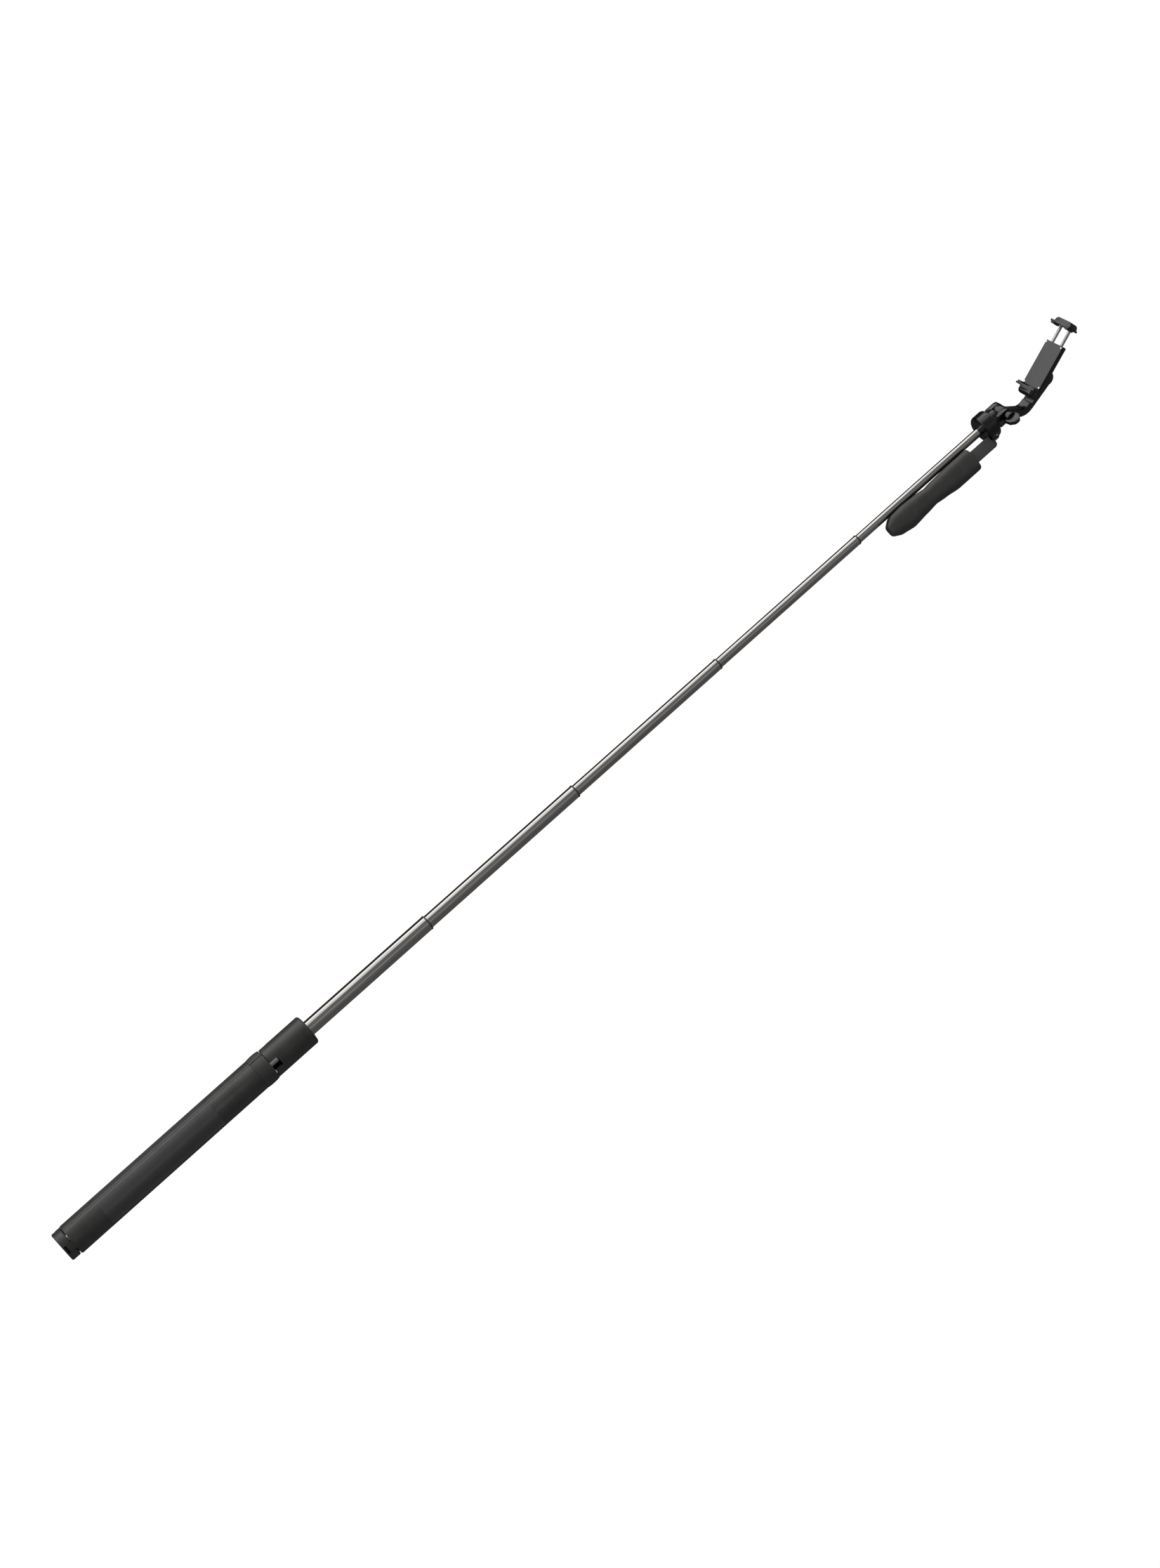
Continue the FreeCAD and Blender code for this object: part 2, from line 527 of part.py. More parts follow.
# ---------------------------------------------------------------- tilt joint
def make_fork():
    fork = new_body("tilt_fork")
    raise_up(fork, "XY_Plane", ("0", "0", "fork_radius"), "fork_deck - fork_bottom",
             lift="fork_bottom", both=False)
    for side in ("", "-"):
        low, high = f"{side}ear_inside", f"{side}ear_outside"
        middle = f"{side}(ear_inside + ear_outside)/2"
        raise_up(fork, "YZ_Plane", ("0", "tilt_level", "ear_radius"),
                 "ear_outside - ear_inside", lift=middle)
        raise_up(fork, "YZ_Plane", box_outline("-ear_radius", "ear_radius", "fork_bottom + 3",
                                               "tilt_level"),
                 "ear_outside - ear_inside", lift=middle)
    # well for the head of the pan screw, and its clearance hole
    cut(fork, "XY_Plane", ("0", "0", "4.5"), "10", lift="fork_bottom + 2.2", both=False, reverse=True)
    cut(fork, "XY_Plane", ("0", "0", "screw_radius + 0.07"), "20", lift="fork_bottom - 5",
        both=False, reverse=True)
    cut(fork, "YZ_Plane", ("0", "tilt_level", "bolt_radius + 0.02"), "40")
    # hex seat for the bolt's head in the left ear, and a round seat for the knob on the right
    cut(fork, "YZ_Plane", ("0", "tilt_level", "4.3"), "2.6", lift="-ear_outside + 1.2")
    fork.Placement = AT_FORK
    bolt = new_body("tilt_bolt")
    raise_up(bolt, "YZ_Plane", ("0", "tilt_level", "bolt_radius"), "ear_outside*2 + 5.4",
             lift="3.0")
    raise_up(bolt, "YZ_Plane", [
        ("4.1*cos(60*k)".replace("k", str(k)), "tilt_level + 4.1*sin(60*k)".replace("k", str(k)))
        for k in range(6)], "2.2", lift="-ear_outside + 1.4")
    bolt.Placement = AT_FORK
    knob = new_body("wing_knob")
    raise_up(knob, "YZ_Plane", ("0", "tilt_level", "6.6"), "7.0", lift="ear_outside + 3.8")
    raise_up(knob, "XZ_Plane", [
        ("ear_outside + 5", "tilt_level - 8.2"), ("ear_outside + 12", "tilt_level - 7.6"),
        ("ear_outside + 16.6", "tilt_level - 3.6"), ("ear_outside + 17.4", "tilt_level"),
        ("ear_outside + 16.6", "tilt_level + 3.6"), ("ear_outside + 12", "tilt_level + 7.6"),
        ("ear_outside + 5", "tilt_level + 8.2")], "4.6")
    cut(knob, "YZ_Plane", ("0", "tilt_level", "3.4"), "5.6", lift="ear_outside + 3.1")
    knob.Placement = AT_FORK
    nut = new_body("knob_nut")
    raise_up(nut, "YZ_Plane", ("0", "tilt_level", "3.36"), "5.2", lift="ear_outside + 3.3")
    cut(nut, "YZ_Plane", ("0", "tilt_level", "bolt_radius + bolt_play"), "12",
        lift="ear_outside + 3.3")
    nut.Placement = AT_FORK


# ---------------------------------------------------------------- elbow arm
def make_elbow():
    """Swept in the tilted frame: x along the tilt bolt, y to the back, z up the phone."""
    low = math.radians(number("link_angle"))
    high = math.radians(number("arm_angle"))
    reach = number("link_length")
    bend = number("bend_radius")
    start = V(0, reach * math.cos(low), reach * math.sin(low))
    centre = start + V(0, -bend * math.sin(low), bend * math.cos(low))
    end = centre + V(0, bend * math.sin(high), -bend * math.cos(high))
    middle_angle = (low + high) / 2
    middle = centre + V(0, bend * math.sin(middle_angle), -bend * math.cos(middle_angle))
    root = V(0, 11.0 * math.cos(low), 11.0 * math.sin(low))
    top = end + V(0, math.cos(high), math.sin(high)) * number("arm_length")
    path = Part.Wire([Part.LineSegment(root, start).toShape(),
                      Part.Arc(start, middle, end).toShape(),
                      Part.LineSegment(end, top).toShape()])
    half_wide = number("arm_width") / 2
    half_thick = number("arm_thick") / 2
    along = V(0, math.cos(low), math.sin(low))
    upright = V(0, -math.sin(low), math.cos(low))
    outline = [root + V(x, 0, 0) + upright * y for x, y in (
        (-half_wide, -half_thick), (half_wide, -half_thick),
        (half_wide, half_thick), (-half_wide, half_thick))]
    profile = Part.makePolygon(outline + outline[:1])
    arm = path.makePipeShell([profile], True, False)
    corner_edges = [e for e in arm.Edges if e.Length > 5 and abs(abs(e.BoundBox.Center.x) - half_wide) < 0.01
                    and e.BoundBox.XLength < 0.01]
    arm = arm.makeFillet(2.2, corner_edges)
    knuckle = Part.makeCylinder(number("elbow_knuckle"), 2 * number("knuckle_half"),
                                V(-number("knuckle_half"), 0, 0), V(1, 0, 0))
    link = Part.makeBox(2 * number("knuckle_half"), 14.0, number("arm_thick"),
                        V(-number("knuckle_half"), 0, -half_thick))
    link.rotate(V(0, 0, 0), V(1, 0, 0), number("link_angle"))
    boss_point = V(0, number("phone_back + body_rear") + 0.7, number("phone_up + swivel_level"))
    boss = Part.makeCylinder(number("boss_radius"), 9.0, boss_point, V(0, 1, 0))
    arm = arm.fuse([knuckle, link, boss])
    arm = arm.cut(Part.makeCylinder(number("bolt_radius + bolt_play"), 40, V(-20, 0, 0), V(1, 0, 0)))
    stud_room = number("stud_radius + stud_play")
    arm = arm.cut(Part.makeCylinder(stud_room, 60, boss_point - V(0, 20, 0), V(0, 1, 0)))
    clamp_side = Part.makeBox(60, 30, 90, V(-30, number("phone_back + body_rear") + 0.35 - 30, 26))
    arm = arm.cut(clamp_side)
    behind = Part.makeCylinder(7.0, 30, boss_point + V(0, 6.6, 0), V(0, 1, 0))
    arm = arm.cut(behind).removeSplitter()
    item = doc.addObject("Part::Feature", "elbow_arm")
    item.Label = "elbow_arm"
    item.Shape = arm
    item.Placement = AT_ELBOW


# ---------------------------------------------------------------- phone clamp
def make_clamp():
    """In the clamp's own frame: x along the phone, y to the back, z across the phone."""
    body = new_body("clamp_body")
    raise_up(body, "XZ_Plane", box_outline("-body_half", "body_half", "body_floor",
                                           "body_roof"),
             "body_rear - body_front", lift="-(body_front + body_rear)/2")
    soften(body, "2.4", lambda at, edge: at.y > number("body_rear") - 0.01)
    cut(body, "XZ_Plane", box_outline("-cavity_half", "cavity_half", "body_floor + 3",
                                      "body_roof - roof_thick"),
        "cavity_rear - body_front + 2", lift="-(body_front - 2 + cavity_rear)/2")
    for side in ("", "-"):
        cut(body, "XY_Plane", (f"{side}rod_spread", "rod_depth", "rod_radius + 0.06"),
            "roof_thick + 2", lift="body_roof + 1", both=False)
    raise_up(body, "XZ_Plane", ("0", "swivel_level", "stud_radius"), "8.3",
             lift="-body_rear - 3.65")
    raise_up(body, "XZ_Plane", ("0", "swivel_level", "7.4"), "1.0",
             lift="-body_rear")
    cut(body, "XZ_Plane", ("0", "swivel_level", "1.5"), "8", lift="-body_rear - 5.5")
    body.Placement = AT_CLAMP
    cover = new_body("clamp_cover")
    raise_up(cover, "XZ_Plane", box_outline("-body_half", "body_half", "body_floor + 0.05",
                                            "body_roof"),
             "body_front - cover_front", lift="-(cover_front + body_front)/2")
    soften(cover, "0.8", lambda at, edge: at.y < number("cover_front") + 0.01)
    cover.Placement = AT_CLAMP
    lower = new_body("lower_jaw")
    floor = "(-jaw_gap/2 - pad_rib)"
    raise_up(lower, "XZ_Plane", box_outline("-jaw_half", "jaw_half", f"{floor} - jaw_thick",
                                            floor),
             "cover_front - 0.05 - jaw_front", lift="-(jaw_front + cover_front - 0.05)/2")
    raise_up(lower, "XZ_Plane", box_outline("-body_half + 1.5", "body_half - 1.5",
                                            f"{floor} - 10", f"{floor} - jaw_thick + 0.1"),
             "body_rear + 1.6", lift="-(body_rear - 1.6)/2")
    soften(lower, "4.5", lambda at, edge: at.z < number(floor) - 9.9 or (
        edge.BoundBox.ZLength > 7 and at.z < number(floor) - 3))
    lower.Placement = AT_CLAMP
    upper = new_body("upper_jaw")
    ceiling = "(jaw_gap/2 + pad_rib)"
    raise_up(upper, "XZ_Plane", box_outline("-jaw_half", "jaw_half", ceiling,
                                            f"{ceiling} + jaw_thick"),
             "body_rear - jaw_front", lift="-(jaw_front + body_rear)/2")
    raise_up(upper, "XZ_Plane", [
        ("-jaw_half + 1.5", f"{ceiling} + jaw_thick - 0.1"),
        ("jaw_half - 1.5", f"{ceiling} + jaw_thick - 0.1"),
        ("jaw_half - 3.0", f"{ceiling} + 6"), ("jaw_half - 5.5", f"{ceiling} + 7.6"),
        ("-jaw_half + 5.5", f"{ceiling} + 7.6"), ("-jaw_half + 3.0", f"{ceiling} + 6")],
        "body_rear + 1.0", lift="-(body_rear - 1.0)/2")
    for side in ("", "-"):
        cut(upper, "XY_Plane", (f"{side}rod_spread", "rod_depth", "rod_radius + 0.02"), "6.0",
            lift=f"{ceiling} + 5", both=False)
    upper.Placement = AT_CLAMP
    return floor, ceiling


def make_clamp_details(floor, ceiling):
    """Pads, rods, springs and fasteners, in the clamp's own frame."""
    lower_ribs = []
    upper_ribs = []
    for k, (left, right) in enumerate((("-jaw_half + 1", "-jaw_half + 5.5"),
                                       ("jaw_half - 5.5", "jaw_half - 1"))):
        lower_ribs.append(block(f"lower_rib_{k}", left, right, "jaw_front + 0.8",
                                "cover_front - 0.8", floor, "-jaw_gap/2"))
        upper_ribs.append(block(f"upper_rib_{k}", left, right, "jaw_front + 0.8",
                                "cover_front + 2", "jaw_gap/2", ceiling))
    lower_pads = group("lower_pads", lower_ribs)
    upper_pads = group("upper_pads", upper_ribs)
    rods = []
    springs = []
    for side in ("", "-"):
        where = dict(x=f"{side}rod_spread", y="rod_depth")
        rods.append(cylinder("rod", "rod_radius", "rod_foot_level + 0.4",
                             f"{ceiling} + 4.8", **where))
        spring = doc.addObject("Part::Cut", "spring")
        low = "rod_foot_level + rod_foot_thick + 0.2"
        high = "body_roof - roof_thick - 0.2"
        spring.Base = cylinder("spring_outside", "spring_radius", low, high, **where)
        spring.Tool = cylinder("spring_bore", "rod_radius + 0.12", f"{low} - 1", f"{high} + 1",
                               **where)
        springs.append(spring)
    rod_group = group("jaw_rods", rods)
    spring_group = group("jaw_springs", springs)
    foot = new_body("rod_foot")
    raise_up(foot, "XZ_Plane", box_outline("-cavity_half + 0.3", "cavity_half - 0.3",
                                           "rod_foot_level", "rod_foot_level + rod_foot_thick"),
             "4.2", lift="-rod_depth")
    for side in ("", "-"):
        cut(foot, "XY_Plane", (f"{side}rod_spread", "rod_depth", "rod_radius + 0.02"), "8",
            lift="rod_foot_level + 0.4", both=False, reverse=True)
    screws = []
    for x in ("-body_half + 1.6", "body_half - 1.6"):
        for z in ("body_floor + 6", "body_roof - 2.2"):
            item = doc.addObject("Part::Cylinder", "cover_screw")
            bind(item, Radius="0.9", Height="0.5")
            item.Placement = FreeCAD.Placement(V(number(x), number("cover_front") - 0.5, number(z)),
                                               FreeCAD.Rotation(V(1, 0, 0), -90))
            screws.append(item)
    screw_group = group("clamp_screws", screws)
    swivel = new_body("swivel_screw")
    raise_up(swivel, "XZ_Plane", ("0", "swivel_level", "6.4"), "1.8", lift="-body_rear - 8.8")
    raise_up(swivel, "XZ_Plane", ("0", "swivel_level", "1.45"), "7.4", lift="-body_rear - 5.4")
    for piece in (lower_pads, upper_pads, rod_group, spring_group, foot, screw_group, swivel):
        piece.Placement = AT_CLAMP


# ---------------------------------------------------------------- the whole stick
make_base()
make_collar()
for k, angle in enumerate(LEG_BEARINGS, 1):
    make_leg(k, angle)
make_tubes()
make_head()
make_grip()
make_fork()
make_elbow()
make_clamp_details(*make_clamp())
doc.recompute()

NODES = [
    "base_cap", "base_plug", "base_screw", "leg_pins", "centre_tube", "collar", "collar_bush",
    *[f"leg_{part}_{k}" for k in (1, 2, 3) for part in ("shell", "liner", "pad", "foot")],
    *[f"{part}_{key}" for key in "abcde" for part in ("tube", "bush")],
    *[f"ring_{key}" for key in "abcd"],
    "head_block", "head_plug", "pan_screw", "pan_washer", "grip_pin",
    "grip_core", "grip_shell_front", "grip_shell_rear", "grip_screws",
    "tilt_fork", "tilt_bolt", "wing_knob", "knob_nut", "elbow_arm",
    "clamp_body", "clamp_cover", "clamp_screws", "lower_jaw", "lower_pads", "swivel_screw",
    "upper_jaw", "upper_pads", "jaw_rods", "rod_foot", "jaw_springs",
]


def write_parts():
    """Checks every object and every piece, then writes one STEP file for each piece."""
    for item in doc.Objects:
        if "Invalid" in item.State or "Error" in item.State:
            raise RuntimeError(f"{item.Label} did not compute: {item.State}")
    by_label = {item.Label: item for item in doc.Objects}
    for name in NODES:
        shape = by_label[name].Shape
        if shape.isNull() or not shape.isValid() or shape.Volume <= 0:
            raise RuntimeError(f"{name} has no valid shape")
    os.makedirs("parts", exist_ok=True)
    for name in NODES:
        by_label[name].Shape.exportStep(f"parts/{name}.step")
    print(len(NODES), "parts written")


write_parts()
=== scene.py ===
"""Looks for the tripod selfie stick: camera, light, detailed pieces and materials.

Metres, in the part's own frame: +Z up the pole, +X towards the folding grip's side.
"""

import json
import math

import bmesh
import bpy
from mathutils import Matrix, Vector


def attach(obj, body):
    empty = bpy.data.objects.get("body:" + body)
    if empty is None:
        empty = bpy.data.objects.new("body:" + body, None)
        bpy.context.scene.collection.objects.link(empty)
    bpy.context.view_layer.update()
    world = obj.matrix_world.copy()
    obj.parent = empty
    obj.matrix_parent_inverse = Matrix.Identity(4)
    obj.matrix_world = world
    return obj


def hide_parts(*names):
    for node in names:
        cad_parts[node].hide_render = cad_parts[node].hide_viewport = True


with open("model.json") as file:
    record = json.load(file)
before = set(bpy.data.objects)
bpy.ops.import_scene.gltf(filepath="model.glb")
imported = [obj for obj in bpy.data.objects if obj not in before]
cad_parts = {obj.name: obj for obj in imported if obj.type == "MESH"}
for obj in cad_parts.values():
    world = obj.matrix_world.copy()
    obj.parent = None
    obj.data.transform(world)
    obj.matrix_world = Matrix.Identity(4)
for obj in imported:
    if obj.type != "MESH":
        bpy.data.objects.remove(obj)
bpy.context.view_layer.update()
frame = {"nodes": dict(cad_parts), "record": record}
NODES = frame["nodes"]

MM = 0.001


# ---------------------------------------------------------------- camera and light
VIEW_DISTANCE = 3.1
VIEW_RISE = math.radians(12.64)      # the camera looks up by this much
VIEW_ROLL = math.radians(41.67)      # the pole climbs from left to right at this angle
VIEW_TARGET = Vector((-0.0022, 0, 0.7231))
SENSOR_HEIGHT = 36                   # mm, and so is the focal length
FOCAL_LENGTH = 66.567
CLIP_END = 60


def make_camera():
    """The stick stands upright in its own frame, so the camera is rolled to slant it."""
    forward = Vector((0, math.cos(VIEW_RISE), math.sin(VIEW_RISE)))
    up = Vector((0, -math.sin(VIEW_RISE), math.cos(VIEW_RISE)))
    right = Vector((1, 0, 0))
    image_right = up * math.cos(VIEW_ROLL) + right * math.sin(VIEW_ROLL)
    image_up = up * math.sin(VIEW_ROLL) - right * math.cos(VIEW_ROLL)
    data = bpy.data.cameras.new("camera")
    data.sensor_fit = "VERTICAL"
    data.sensor_height = SENSOR_HEIGHT
    data.lens = FOCAL_LENGTH
    data.clip_end = CLIP_END
    camera = bpy.data.objects.new("camera", data)
    turn = Matrix((image_right, image_up, -forward)).transposed().to_4x4()
    camera.matrix_world = Matrix.Translation(VIEW_TARGET - forward * VIEW_DISTANCE) @ turn
    bpy.context.scene.collection.objects.link(camera)
    bpy.context.scene.camera = camera


def area_light(name, place, aim, size, power):
    data = bpy.data.lights.new(name, "AREA")
    data.shape = "RECTANGLE"
    data.size, data.size_y = size
    data.energy = power
    lamp = bpy.data.objects.new(name, data)
    lamp.location = place
    lamp.rotation_euler = (Vector(aim) - Vector(place)).to_track_quat("-Z", "Y").to_euler()
    bpy.context.scene.collection.objects.link(lamp)


# brightness of the studio round the stick: bearing from the viewer's side (left is
# negative, in degrees) and strength
STUDIO = (
    (-180, 0.10), (-125, 0.03), (-100, 0.06), (-91, 2.6), (-72, 2.6), (-60, 1.0), (-46, 0.48),
    (-28, 0.32), (2, 0.27), (14, 0.58), (26, 0.26), (60, 0.15), (88, 0.16), (112, 0.20),
    (140, 0.07), (180, 0.08),
)
STUDIO_PEAK = 2.6
LIGHT_AIM = (0, 0, 0.8)
KEY_POWER = 5                        # watts
FILL_POWER = 0.15


def studio_world():
    """A softbox on the left in a dim room; the backdrop itself is plain white."""
    world = bpy.data.worlds.new("studio")
    world.use_nodes = True
    tree = world.node_tree
    sky = tree.nodes["Background"]
    place = tree.nodes.new("ShaderNodeTexCoord")
    split = tree.nodes.new("ShaderNodeSeparateXYZ")
    tree.links.new(place.outputs["Generated"], split.inputs["Vector"])
    back = tree.nodes.new("ShaderNodeMath")
    back.operation = "MULTIPLY"
    back.inputs[1].default_value = -1
    tree.links.new(split.outputs["Y"], back.inputs[0])
    turn = tree.nodes.new("ShaderNodeMath")
    turn.operation = "ARCTAN2"
    tree.links.new(split.outputs["X"], turn.inputs[0])
    tree.links.new(back.outputs[0], turn.inputs[1])
    share = tree.nodes.new("ShaderNodeMapRange")
    share.inputs["From Min"].default_value = -math.pi
    share.inputs["From Max"].default_value = math.pi
    tree.links.new(turn.outputs[0], share.inputs["Value"])
    ramp_node = tree.nodes.new("ShaderNodeValToRGB")
    stops = ramp_node.color_ramp.elements
    stops.remove(stops[1])
    for bearing, _ in STUDIO[1:]:
        stops.new((bearing + 180) / 360)
    for stop, (_, strength) in zip(stops, STUDIO):
        stop.color = (*[strength / STUDIO_PEAK] * 3, 1)
    tree.links.new(share.outputs["Result"], ramp_node.inputs["Fac"])
    tree.links.new(ramp_node.outputs["Color"], sky.inputs["Color"])
    sky.inputs["Strength"].default_value = STUDIO_PEAK
    white = tree.nodes.new("ShaderNodeBackground")
    white.inputs["Color"].default_value = (1, 1, 1, 1)
    seen = tree.nodes.new("ShaderNodeLightPath")
    mix = tree.nodes.new("ShaderNodeMixShader")
    tree.links.new(seen.outputs["Is Camera Ray"], mix.inputs["Fac"])
    tree.links.new(sky.outputs[0], mix.inputs[1])
    tree.links.new(white.outputs[0], mix.inputs[2])
    tree.links.new(mix.outputs[0], tree.nodes["World Output"].inputs["Surface"])
    return world


def make_stage():
    """No floor: the backdrop is plain white, and the open legs reach below the base."""
    scene = bpy.context.scene
    scene.view_settings.view_transform = "Standard"
    scene.world = studio_world()
    area_light("key", (-1.9, -1.6, 1.5), LIGHT_AIM, (0.5, 2.2), KEY_POWER)
    area_light("fill", (2.2, -1.5, 1.2), LIGHT_AIM, (0.6, 1.8), FILL_POWER)


# ---------------------------------------------------------------- materials
class Graph:
    """A material's nodes, built with short calls."""

    def __init__(self, name):
        self.material = bpy.data.materials.new(name)
        self.material.use_nodes = True
        self.tree = self.material.node_tree
        self.shader = self.tree.nodes["Principled BSDF"]
        self.place = self.add("ShaderNodeTexCoord").outputs["Object"]

    def add(self, kind, **values):
        node = self.tree.nodes.new(kind)
        for key, value in values.items():
            if key in node.inputs:
                node.inputs[key].default_value = value
            else:
                setattr(node, key, value)
        return node

    def link(self, out, into):
        self.tree.links.new(out, into)

    def noise(self, scale, detail=3.0, stretch=(1, 1, 1)):
        mapping = self.add("ShaderNodeMapping")
        mapping.inputs["Scale"].default_value = stretch
        self.link(self.place, mapping.inputs["Vector"])
        noise = self.add("ShaderNodeTexNoise", Scale=scale, Detail=detail)
        self.link(mapping.outputs["Vector"], noise.inputs["Vector"])
        return noise.outputs["Fac"]

    def ramp(self, value, low, high, start=0.0, end=1.0):
        ramp = self.add("ShaderNodeValToRGB")
        ramp.color_ramp.elements[0].position = start
        ramp.color_ramp.elements[1].position = end
        ramp.color_ramp.elements[0].color = (*low, 1)
        ramp.color_ramp.elements[1].color = (*high, 1)
        self.link(value, ramp.inputs["Fac"])
        return ramp.outputs["Color"]

    def span(self, value, low, high):
        out = self.add("ShaderNodeMapRange")
        out.inputs["To Min"].default_value = low
        out.inputs["To Max"].default_value = high
        self.link(value, out.inputs["Value"])
        return out.outputs["Result"]

    def bump(self, value, strength, distance):
        bump = self.add("ShaderNodeBump", Strength=strength, Distance=distance)
        self.link(value, bump.inputs["Height"])
        self.link(bump.outputs["Normal"], self.shader.inputs["Normal"])


# how sharp an edge is where its painted highlight starts and where it is full, and the painted
# highlight colour
EDGE_START = 0.515
EDGE_FULL = 0.60
EDGE_HIGHLIGHT_COLOUR = (0.3, 0.3, 0.3, 1)


def moulded(name, dark, light, rough, grain=2600, depth=0.00004, edge_highlight=0.12):
    """Moulded plastic or rubber: fine grain, faint mottling and a painted highlight that makes the
    edges slightly paler.
    """
    g = Graph(name)
    mottle = g.noise(90, 4)
    colour = g.ramp(mottle, dark, light, 0.3, 0.7)
    # painted highlight: sharp convex edges are mixed towards a pale grey
    edge = g.add("ShaderNodeNewGeometry").outputs["Pointiness"]
    highlight_mask = g.add("ShaderNodeMapRange")
    highlight_mask.inputs["From Min"].default_value = EDGE_START
    highlight_mask.inputs["From Max"].default_value = EDGE_FULL
    highlight_mask.inputs["To Max"].default_value = edge_highlight
    g.link(edge, highlight_mask.inputs["Value"])
    mix = g.add("ShaderNodeMix", data_type="RGBA")
    g.link(highlight_mask.outputs["Result"], mix.inputs["Factor"])
    g.link(colour, mix.inputs[6])
    mix.inputs[7].default_value = EDGE_HIGHLIGHT_COLOUR
    g.link(mix.outputs[2], g.shader.inputs["Base Color"])
    g.link(g.span(g.noise(400, 3), rough - 0.05, rough + 0.06), g.shader.inputs["Roughness"])
    g.bump(g.noise(grain, 2), 0.5, depth)
    return g.material


def metal(name, dark, light, rough, streak=(60, 60, 1.2)):
    """Drawn metal: long faint streaks along the pole and a slight change of polish."""
    g = Graph(name)
    lines = g.noise(14, 4, streak)
    g.link(g.ramp(lines, dark, light, 0.35, 0.7), g.shader.inputs["Base Color"])
    g.shader.inputs["Metallic"].default_value = 1.0
    g.link(g.span(g.noise(22, 3, streak), rough - 0.03, rough + 0.04), g.shader.inputs["Roughness"])
    g.bump(g.noise(30, 3, streak), 0.05, 0.000002)
    return g.material


MATERIALS = {
    "black_shell": moulded("black_shell_matt", (0.024, 0.0245, 0.023), (0.036, 0.0365, 0.034), 0.42),
    "pad_rubber": moulded("pad_satin", (0.022, 0.022, 0.021), (0.029, 0.029, 0.028), 0.22,
                          3200, 0.00002),
    "foot_rubber": moulded("foot_matt", (0.032, 0.032, 0.031), (0.046, 0.046, 0.044), 0.55),
    "tube_ring": moulded("ring_black", (0.004, 0.004, 0.004), (0.008, 0.008, 0.008), 0.5),
    "grip_black": moulded("grip_soft", (0.030, 0.0305, 0.0285), (0.043, 0.0435, 0.0415), 0.5),
    "head_black": moulded("head_satin", (0.0015, 0.0015, 0.0015), (0.0035, 0.0035, 0.0035), 0.22,
                          edge_highlight=0.03),
    "jaw_pad": moulded("jaw_rubber", (0.004, 0.004, 0.004), (0.008, 0.008, 0.008), 0.6),
    "bush_white": moulded("bush_acetal", (0.6, 0.6, 0.58), (0.7, 0.7, 0.68), 0.4, edge_highlight=0.0),
    "steel_tube": metal("tube_nickel", (0.33, 0.315, 0.30), (0.42, 0.405, 0.39), 0.08),
    "liner_metal": metal("liner_strip", (0.5, 0.5, 0.5), (0.65, 0.65, 0.64), 0.3),
    "zinc": metal("fastener_zinc", (0.4, 0.4, 0.4), (0.58, 0.58, 0.57), 0.28, (8, 8, 8)),
}


def finish_nodes():
    """Every CAD node takes the detailed material of its record slot."""
    slots = {row["node"]: row["material_slot"] for row in frame["record"]["subparts"]}
    for name, item in NODES.items():
        material = MATERIALS[slots[name]]
        if not item.material_slots:
            item.data.materials.append(material)
        for place in item.material_slots:
            place.material = material


# ---------------------------------------------------------------- detailed pieces
def new_piece(name, mesh, body, slot, *replaced):
    piece = bpy.data.objects.new(name, mesh)
    bpy.context.scene.collection.objects.link(piece)
    mesh.materials.append(MATERIALS[slot])
    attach(piece, body)
    if replaced:
        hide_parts(*replaced)
    return piece


def shade(mesh, angle=32):
    """Smooth shading, with edges sharper than the angle kept crisp."""
    for face in mesh.polygons:
        face.use_smooth = True
    mesh.set_sharp_from_angle(angle=math.radians(angle))


def softened(node, body, slot, width, corner=30, segments=3):
    """The node's form with its hard edges rounded, as a mould leaves them."""
    source = NODES[node].data
    form = bmesh.new()
    form.from_mesh(source)
    bmesh.ops.remove_doubles(form, verts=form.verts, dist=0.00002)
    bmesh.ops.dissolve_limit(form, angle_limit=math.radians(1.0), verts=form.verts,
                             edges=form.edges)
    hard = [e for e in form.edges if len(e.link_faces) == 2
            and e.calc_face_angle(0) > math.radians(corner)]
    bmesh.ops.bevel(form, geom=hard, offset=width, segments=segments, profile=0.5,
                    affect="EDGES", clamp_overlap=True)
    bmesh.ops.recalc_face_normals(form, faces=form.faces)
    mesh = bpy.data.meshes.new(node + "_form")
    form.to_mesh(mesh)
    form.free()
    shade(mesh)
    return new_piece(node + "_form", mesh, body, slot, node)


GRIP_SECTIONS = (
    # level, left side, right side, half depth, corner, in mm
    (1303.4, 4.2, 32.7, 11.0, 4.0),
    (1270.0, 4.2, 32.7, 11.6, 4.6),
    (1252.0, 5.0, 30.4, 11.2, 5.0),
    (1237.0, 6.4, 28.8, 10.4, 5.0),
    (1221.0, 3.9, 30.1, 11.4, 5.4),
    (1201.0, 2.7, 31.7, 12.2, 6.0),
    (1186.0, 3.6, 29.4, 11.4, 6.0),
    (1174.0, 10.0, 24.4, 7.0, 4.5),
)
POLE_ROOM = 7.75


def section_at(level):
    """The grip's section between the listed ones, eased so that the sides flow."""
    rows = GRIP_SECTIONS
    for high, low in zip(rows, rows[1:]):
        if low[0] <= level <= high[0]:
            part = (high[0] - level) / (high[0] - low[0])
            part = part * part * (3 - 2 * part) * 0.6 + part * 0.4
            return [a + (b - a) * part for a, b in zip(high[1:], low[1:])]
    return rows[-1][1:]


def half_outline(left, right, half, corner, side, count=40):
    """Half of a round-cornered rectangle, from the seam on the left round to the right."""
    middle = (left + right) / 2
    wide = (right - left) / 2
    spots = []
    power = 2.0 + 1.6 * (1 - corner / 12)
    for k in range(count + 1):
        angle = math.pi * (1 - k / count)
        c, s = math.cos(angle), math.sin(angle)
        x = middle + wide * math.copysign(abs(c) ** (2 / power), c)
        y = side * half * abs(s) ** (2 / power)
        reach = math.hypot(x, y)
        if reach < POLE_ROOM:
            scale = POLE_ROOM / max(reach, 0.001)
            x, y = x * scale, y * scale
        spots.append((x, y))
    return spots


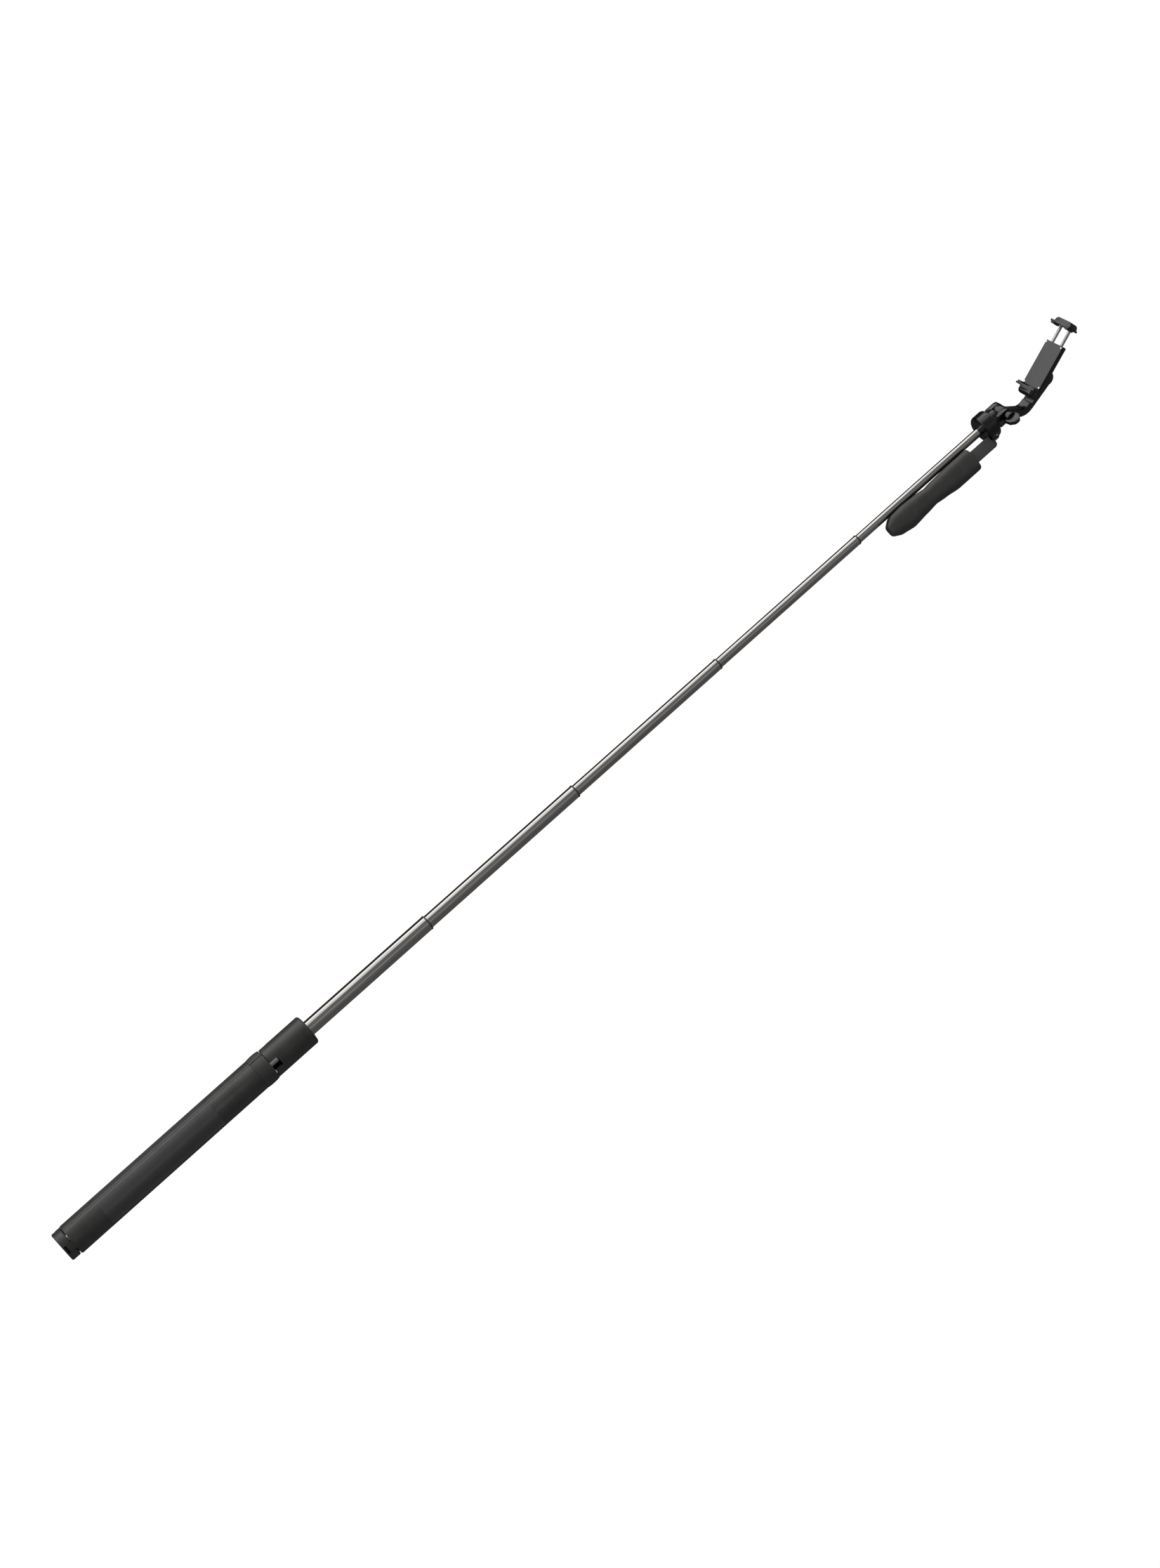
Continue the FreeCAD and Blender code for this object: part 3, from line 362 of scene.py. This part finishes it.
def grip_half(name, side, node):
    """One half shell of the folding grip: side is -1 for the front one and 1 for the rear."""
    form = bmesh.new()
    top, bottom = GRIP_SECTIONS[0][0], GRIP_SECTIONS[-1][0]
    levels = [top, top - 0.3, top - 0.9, top - 1.8]
    steps = 46
    levels += [top - 3.2 - (top - 3.2 - bottom - 4) * k / steps for k in range(steps + 1)]
    levels += [bottom + 2.4, bottom + 1.2, bottom + 0.4, bottom]
    rings = []
    for level in levels:
        left, right, half, corner = section_at(level)
        pull = 0.0
        for gap, amount in ((top - level, 1.3), (level - bottom, 2.2)):
            if gap < 3.0:
                pull = max(pull, amount * (1 - math.sqrt(max(0, 1 - (1 - gap / 3.0) ** 2))))
        ring = half_outline(left + pull, right - pull, half - pull, corner, side)
        rings.append([form.verts.new((x * MM, (y + side * 0.04) * MM, level * MM)) for x, y in ring])
    for upper, lower in zip(rings, rings[1:]):
        for k in range(len(upper) - 1):
            form.faces.new((upper[k], upper[k + 1], lower[k + 1], lower[k]))
        form.faces.new((upper[-1], upper[0], lower[0], lower[-1]))
    form.faces.new(rings[0])
    form.faces.new(rings[-1][::-1])
    bmesh.ops.recalc_face_normals(form, faces=form.faces)
    seam = [e for e in form.edges if abs(e.calc_face_angle(0)) > math.radians(50)
            and all(abs(v.co.y) < 0.0001 for v in e.verts)]
    bmesh.ops.bevel(form, geom=seam, offset=0.0003, segments=2, profile=0.5, affect="EDGES",
                    clamp_overlap=True)
    mesh = bpy.data.meshes.new(name)
    form.to_mesh(mesh)
    form.free()
    shade(mesh, 40)
    new_piece(name, mesh, "grip", "grip_black", node)


# node, body, slot and the width of its rounded edges in metres
SOFT_EDGES = [
    ("tilt_fork", "fork", "head_black", 0.0006),
    ("wing_knob", "wing", "head_black", 0.0008),
    ("elbow_arm", "elbow", "head_black", 0.0006),
    ("clamp_body", "clamp", "head_black", 0.0005),
    ("clamp_cover", "clamp", "head_black", 0.0005),
    ("lower_jaw", "clamp", "head_black", 0.0006),
    ("upper_jaw", "jaw", "head_black", 0.0007),
    ("grip_core", "grip", "grip_black", 0.0007),
    ("base_cap", "handle", "black_shell", 0.0003),
    ("collar", "handle", "black_shell", 0.0004),
]
for leg in (1, 2, 3):
    SOFT_EDGES.append((f"leg_shell_{leg}", f"leg_{leg}", "black_shell", 0.0005))
    SOFT_EDGES.append((f"leg_foot_{leg}", f"leg_{leg}", "foot_rubber", 0.0006))

make_camera()
make_stage()
finish_nodes()
grip_half("grip_front_skin", -1, "grip_shell_front")
grip_half("grip_rear_skin", 1, "grip_shell_rear")
for node, body, slot, width in SOFT_EDGES:
    softened(node, body, slot, width)
